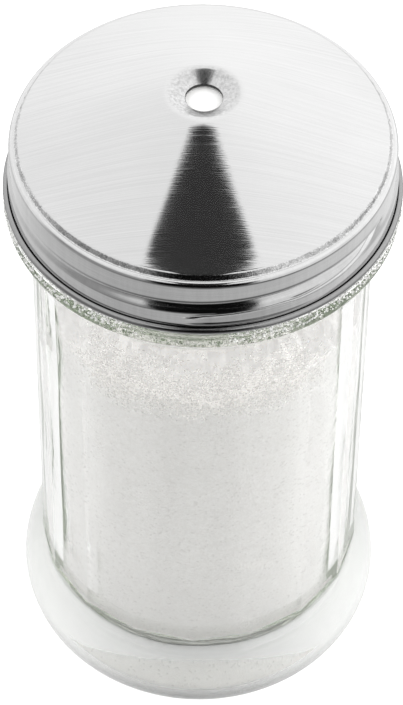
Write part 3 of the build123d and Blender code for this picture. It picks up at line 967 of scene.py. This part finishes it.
def lid_outside():
    """Profiles from the pour hole's edge to the inside of the rolled lower edge."""
    eased, edge_z = eased_cone()
    step_foot = STEP_RADIUS + (edge_z - RIM_Z) / STEP_SLOPE
    top = rounded_path(
        [
            (HOLE_RADIUS, LIP_Z - DIMPLE_DEPTH - HOLE_EDGE_HEIGHT, 0),
            (HOLE_RADIUS, LIP_Z - DIMPLE_DEPTH, HOLE_EDGE_ROUND),
            (DIMPLE_RADIUS, LIP_Z, DIMPLE_LIP_ROUND),
            *eased,
            (STEP_RADIUS, edge_z, STEP_ROUND),
            (step_foot, RIM_Z, STEP_FOOT_ROUND),
            (SKIRT_RADIUS, RIM_Z, RIM_ROUND),
            (SKIRT_RADIUS, RIM_Z - RIM_TURN_DOWN, 0),
        ],
        arc_step=6.0,
        run_step=1.2,
    )
    skirt_z = np.concatenate([np.arange(*rows) for rows in SKIRT_ROWS])
    skirt = np.stack([np.full(len(skirt_z), SKIRT_RADIUS), skirt_z], axis=1)
    curl = rounded_path([
        (SKIRT_RADIUS + FLARE, CREVICE_TOP, 0),
        (SKIRT_RADIUS + FLARE, CREVICE_LOW, CREVICE_ROUND),
        (CREVICE_RADIUS, CREVICE_LOW, CREVICE_ROUND),
        (CREVICE_RADIUS, CREVICE_MOUTH, 0),
    ], run_step=0.5)
    turn = np.radians(np.arange(*CURL_TURN))
    roll = np.stack([
        CURL_CENTRE[0] + np.where(np.cos(turn) > 0, CURL_REACH[1], CURL_REACH[0]) * np.cos(turn),
        CURL_CENTRE[1] + CURL_RADIUS * np.sin(turn),
    ], axis=1)
    return top, skirt, curl, roll


def lid_inside():
    """Profile of the lid's underside, from the skirt's top back to the pour hole."""
    step = DISC_RADIUS - SHEET
    rim_round, step_foot_round, step_round = INSIDE_ROUNDS
    return rounded_path(
        [
            (SKIRT_RADIUS - SHEET, INNER_TOP, 0),
            (SKIRT_RADIUS - SHEET, RIM_Z - SHEET, rim_round),
            (step, RIM_Z - SHEET, step_foot_round),
            (step, DISC_EDGE_Z + CONE_SLOPE * SHEET - SHEET_DOWN, step_round),
            (DIMPLE_RADIUS, LIP_Z - SHEET_DOWN, DIMPLE_LIP_ROUND - SHEET),
            (HOLE_RADIUS, LIP_Z - SHEET_DOWN - DIMPLE_DEPTH, 0),
        ],
        arc_step=12.0,
        run_step=3.0,
    )


def lay_brush_map(mesh):
    """A map of the brushing's direction, which the brushed steel takes its tangent from."""
    corners = np.zeros(len(mesh.loops), int)
    mesh.loops.foreach_get("vertex_index", corners)
    points = np.zeros(len(mesh.vertices) * 3)
    mesh.vertices.foreach_get("co", points)
    points = points.reshape(-1, 3)[corners]
    brush = mesh.uv_layers.new(name="brush")
    brush.data.foreach_set("uv", (points[:, [1, 0]] * BRUSH_MAP_SCALE).ravel())


def finish_lid_faces(mesh):
    """Give every face of the lid its finish, by where it lies."""
    finishes = [
        brushed_top(),
        rolled_skirt(),
        scuffed_edge(),
        # painted shade: the curled edge gets a darker steel than the skirt, though it is the same sheet
        drawn_steel("rolled_edge_steel_painted_shade", (0.30, 0.44), (0.12, 0.2)),
        # painted shade: a near-black steel for the crevice over the curl and the pour hole's edge, where
        # shade falls
        drawn_steel("painted_shade_edge_steel", (0.04, 0.07), (0.3, 0.4)),
    ]
    for finish in finishes:
        mesh.materials.append(finish)
    top, skirt, step, roll, cut = range(len(finishes))
    centres = np.zeros(len(mesh.polygons) * 3)
    mesh.polygons.foreach_get("center", centres)
    centres = centres.reshape(-1, 3) / MM
    reach = np.hypot(centres[:, 0], centres[:, 1])
    z = centres[:, 2]
    on_skirt = z < RIM_Z - SEAM_SLACK / 2
    on_step = (reach > STEP_RADIUS - SEAM_SLACK) & (reach < STEP_RADIUS + STEP_WIDTH) & ~on_skirt
    on_roll = (z < ROLL_TOP) & (reach > CREVICE_RADIUS - SEAM_SLACK)
    # painted shade: faces in the crevice over the curl and at the pour hole's edge take the near-black steel
    in_crevice = (np.abs(reach - SKIRT_RADIUS - FLARE) < CREVICE_SHADE_HALF_WIDTH) & (z < CREVICE_MOUTH)
    at_hole = reach < HOLE_RADIUS + HOLE_EDGE_ROUND
    base = np.where(on_skirt, skirt, top)
    slots = np.select([on_step, at_hole | in_crevice, on_roll], [step, cut, roll], base)
    mesh.polygons.foreach_set("material_index", slots.astype(int))


def make_lid():
    """The steel lid, one sheet with an inside and an outside."""
    azimuth = np.arange(LID_COLUMNS) * 360.0 / LID_COLUMNS - 180
    a = azimuth[None, :]
    top, skirt, curl, roll = lid_outside()
    skirt_radius, skirt_z = profile_rings(skirt, azimuth)
    skirt_radius = skirt_radius + flare_at(skirt_z) + groove(a, skirt_z) + lower_crease(a, skirt_z)
    inner_z = all_round(np.arange(*INNER_ROWS), azimuth)
    inner_radius = SKIRT_RADIUS - SHEET + flare_at(inner_z) + groove(a, inner_z)
    parts = [
        profile_rings(top, azimuth),
        (skirt_radius, skirt_z),
        profile_rings(curl, azimuth),
        profile_rings(roll, azimuth),
        (inner_radius, inner_z),
        profile_rings(lid_inside(), azimuth),
    ]
    rows = np.concatenate([rings(r, z, azimuth) for r, z in parts])[::-1]
    lid = build_mesh("steel_lid_looks", rows, loop=True)
    lay_brush_map(lid.data)
    finish_lid_faces(lid.data)
    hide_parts("lid_shell")
    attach(lid, "lid")


# ---------------------------- inner pieces
def dress_inner_pieces():
    """Materials for the pieces that keep their CAD meshes."""
    finishes = {
        "lid_insert": moulded_plastic("insert_plastic", (0.86, 0.86, 0.85)),
        "flap": moulded_plastic("flap_plastic", (0.93, 0.93, 0.92)),
        "sealing_gasket": soft_rubber(),
        "hinge_pin": drawn_steel("pin_steel"),
        "counterweight": drawn_steel("weight_steel"),
    }
    for name, material in finishes.items():
        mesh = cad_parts[name].data
        mesh.materials.clear()
        mesh.materials.append(material)


# ---------------------------------- studio
def set_curve(curve, points):
    """Straight runs through the points of a float curve."""
    while len(curve.points) < len(points):
        curve.points.new(0.5, 0.5)
    for spot, (x, y) in zip(curve.points, points):
        spot.location = (x, y)
        spot.handle_type = "VECTOR"


def make_world():
    """White studio with a dark strip overhead in front, as a direction-painted sky."""
    world = bpy.data.worlds.new("studio")
    bpy.context.scene.world = world
    world.use_nodes = True
    n = Nodes(world.node_tree)
    n.tree.nodes.clear()

    def ramp(value, run, levels=(0.0, 1.0)):
        return n.remap(value, *levels, *run, interpolation_type="SMOOTHSTEP")

    def strip_width(angle):
        """Half-width of the dark strip at an angle from overhead towards the front."""
        first, last = STRIP[0][0], STRIP[-1][0]
        along = n.math("DIVIDE", n.math("SUBTRACT", angle, first), last - first)
        curve = n.add("FloatCurve", {"Value": along})
        set_curve(curve.mapping.curves[0], [((a - first) / (last - first), width) for a, width in STRIP])
        curve.mapping.update()
        return n.math("SUBTRACT", curve.outputs[0], STRIP_INSET)

    across, back, up = n.spot("Generated")
    ahead = n.math("MULTIPLY", back, -1.0)
    lean = n.math("MULTIPLY", n.math("ARCTAN2", ahead, up), 180 / math.pi)
    tilted = n.math("MULTIPLY_ADD", across, -STRIP_TILT, lean)

    inside = n.math("SUBTRACT", strip_width(tilted), n.math("ABSOLUTE", across))
    blur = ramp(lean, STRIP_SOFTENING, STRIP_SOFTNESS)
    through_glass = n.math("MINIMUM", n.add("LightPath").outputs["Transmission Depth"], 1.0)
    faded = n.math("MULTIPLY_ADD", through_glass, STRIP_IN_GLASS - 1.0, 1.0)
    dark = n.math("MULTIPLY", ramp(inside, (n.math("MULTIPLY", blur, -1.0), blur)), faded)

    to_right, to_back = SKY_BRIGHTER
    tone = n.math("MULTIPLY_ADD", back, to_back, n.math("MULTIPLY_ADD", across, to_right, SKY_TONE))
    low = n.math("MULTIPLY", ramp(up, HORIZON_RISE), ramp(ahead, HORIZON_FRONT))
    shade = ramp(across, (-HORIZON_WIDTH, HORIZON_WIDTH), HORIZON_LEVELS)
    sky = n.math("MULTIPLY", n.math("MULTIPLY", tone, n.blend(low, 1.0, shade)), SKY_LEVEL)
    mirrored = n.blend(dark, sky, ramp(lean, STRIP_DARKENING, STRIP_LEVELS))

    lamps = FILL_LEVEL
    for sign, power in zip((-1.0, 1.0), LAMP_LEVELS):
        facing = n.math("MAXIMUM", n.math("MULTIPLY", across, sign), 0.0)
        lamps = n.math("MULTIPLY_ADD", n.math("POWER", facing, LAMP_FOCUS), power, lamps)
    bounced = n.math("MINIMUM", n.add("LightPath").outputs["Diffuse Depth"], 1.0)
    background = n.add("Background", {"Color": (1, 1, 1, 1), "Strength": n.blend(bounced, mirrored, lamps)})
    n.tree.links.new(background.outputs[0], n.add("OutputWorld").inputs["Surface"])


def level_card(name, height):
    """A large level sheet at a height in metres, which isn't part of the product."""
    mesh = bpy.data.meshes.new(name)
    corners = ((-1, -1), (1, -1), (1, 1), (-1, 1))
    mesh.from_pydata([(x * FLOOR_HALF, y * FLOOR_HALF, height) for x, y in corners], [], [(0, 1, 2, 3)])
    card = new_piece(name, mesh)
    return card


def make_floor():
    """White ground: what the camera sees of it, and what it throws back into the jar."""
    floor = level_card("floor", FLOOR_Z)
    n = Finish("floor_white")
    seen = n.add("LightPath").outputs["Is Camera Ray"]
    x, y, away = n.around_axis()
    sideways = n.math("DIVIDE", n.math("ABSOLUTE", x), n.math("MAXIMUM", away, FLOOR_MIDDLE))
    behind = n.remap(y, 0.0, 1.0, *FLOOR_BEHIND_RUN)
    beside = n.math("MAXIMUM", n.math("POWER", sideways, 2.0), behind)
    beneath = n.remap(away, FLOOR_BENEATH, 0.0, *FLOOR_BENEATH_RUN)
    thrown = n.math("MAXIMUM", n.remap(beside, *FLOOR_GLOW), beneath)
    n.set(
        Base_Color=(0.45, 0.45, 0.45, 1),
        Roughness=0.9,
        Specular_IOR_Level=0.0,
        Emission_Color=(1, 1, 1, 1),
        Emission_Strength=n.blend(seen, thrown, FLOOR_SEEN),
    )
    floor.data.materials.append(n.material)


def make_floor_in_reflections():
    """What steel and glass mirror of the floor: bright near the jar, dim further off in front."""
    card = level_card("floor_in_reflections", MIRRORED_FLOOR_Z)
    n = Finish("floor_in_reflections")
    x, y, away = n.around_axis()
    distance = n.math("MAXIMUM", away, MIRRORED_MIDDLE)
    ahead = n.math("DIVIDE", n.math("MULTIPLY", y, -1.0), distance)
    right = n.math("DIVIDE", x, distance)
    midway = n.remap(ahead, *MIRRORED_MIDWAY)
    midway = n.math("ADD", midway, n.math("MULTIPLY", right, MIRRORED_BRIGHTER_RIGHT))
    far = n.remap(ahead, *MIRRORED_FAR)
    level = n.blend(n.remap(away, 0, 1, *MIRRORED_FAR_RUN), midway, far)
    level = n.blend(n.remap(away, *MIRRORED_NEAR), level, MIRRORED_NEAR_LEVEL)
    n.set(
        Base_Color=(0, 0, 0, 1),
        Specular_IOR_Level=0.0,
        Emission_Color=(1, 1, 1, 1),
        Emission_Strength=level,
    )
    card.data.materials.append(n.material)
    hide_from(card, "camera", "diffuse", "transmission", "shadow", "volume_scatter")


def make_camera():
    """The camera that the photo was taken with, as fitted to the dispenser's edges."""
    data = bpy.data.cameras.new("camera")
    data.lens = CAMERA_LENS
    data.sensor_fit = "VERTICAL"
    data.sensor_height = CAMERA_SENSOR
    data.shift_x = CAMERA_SHIFT
    data.clip_start = CAMERA_NEAR
    camera = new_piece("camera", data)
    tilt = Matrix.Rotation(math.pi / 2 - CAMERA_DOWN, 4, "X")
    camera.matrix_world = Matrix.Translation(CAMERA_PLACE) @ tilt @ Matrix.Rotation(CAMERA_ROLL, 4, "Z")
    bpy.context.scene.camera = camera


def set_light_paths():
    """Enough bounces for light to find its way through the glass, the crystals and the lid."""
    scene = bpy.context.scene
    scene.view_settings.view_transform = "Standard"
    scene.cycles.max_bounces = BOUNCES_IN_GLASS
    scene.cycles.transmission_bounces = BOUNCES_IN_GLASS
    scene.cycles.glossy_bounces = BOUNCES_IN_GLASS
    scene.cycles.transparent_max_bounces = BOUNCES_THROUGH_GRAINS
    scene.cycles.diffuse_bounces = BOUNCES_OF_MATT_LIGHT


set_light_paths()
make_camera()
make_world()
make_floor()
make_floor_in_reflections()
make_jar()
make_crystals_on_glass()
make_spilled_grains()
make_sugar()
make_lid()
dress_inner_pieces()
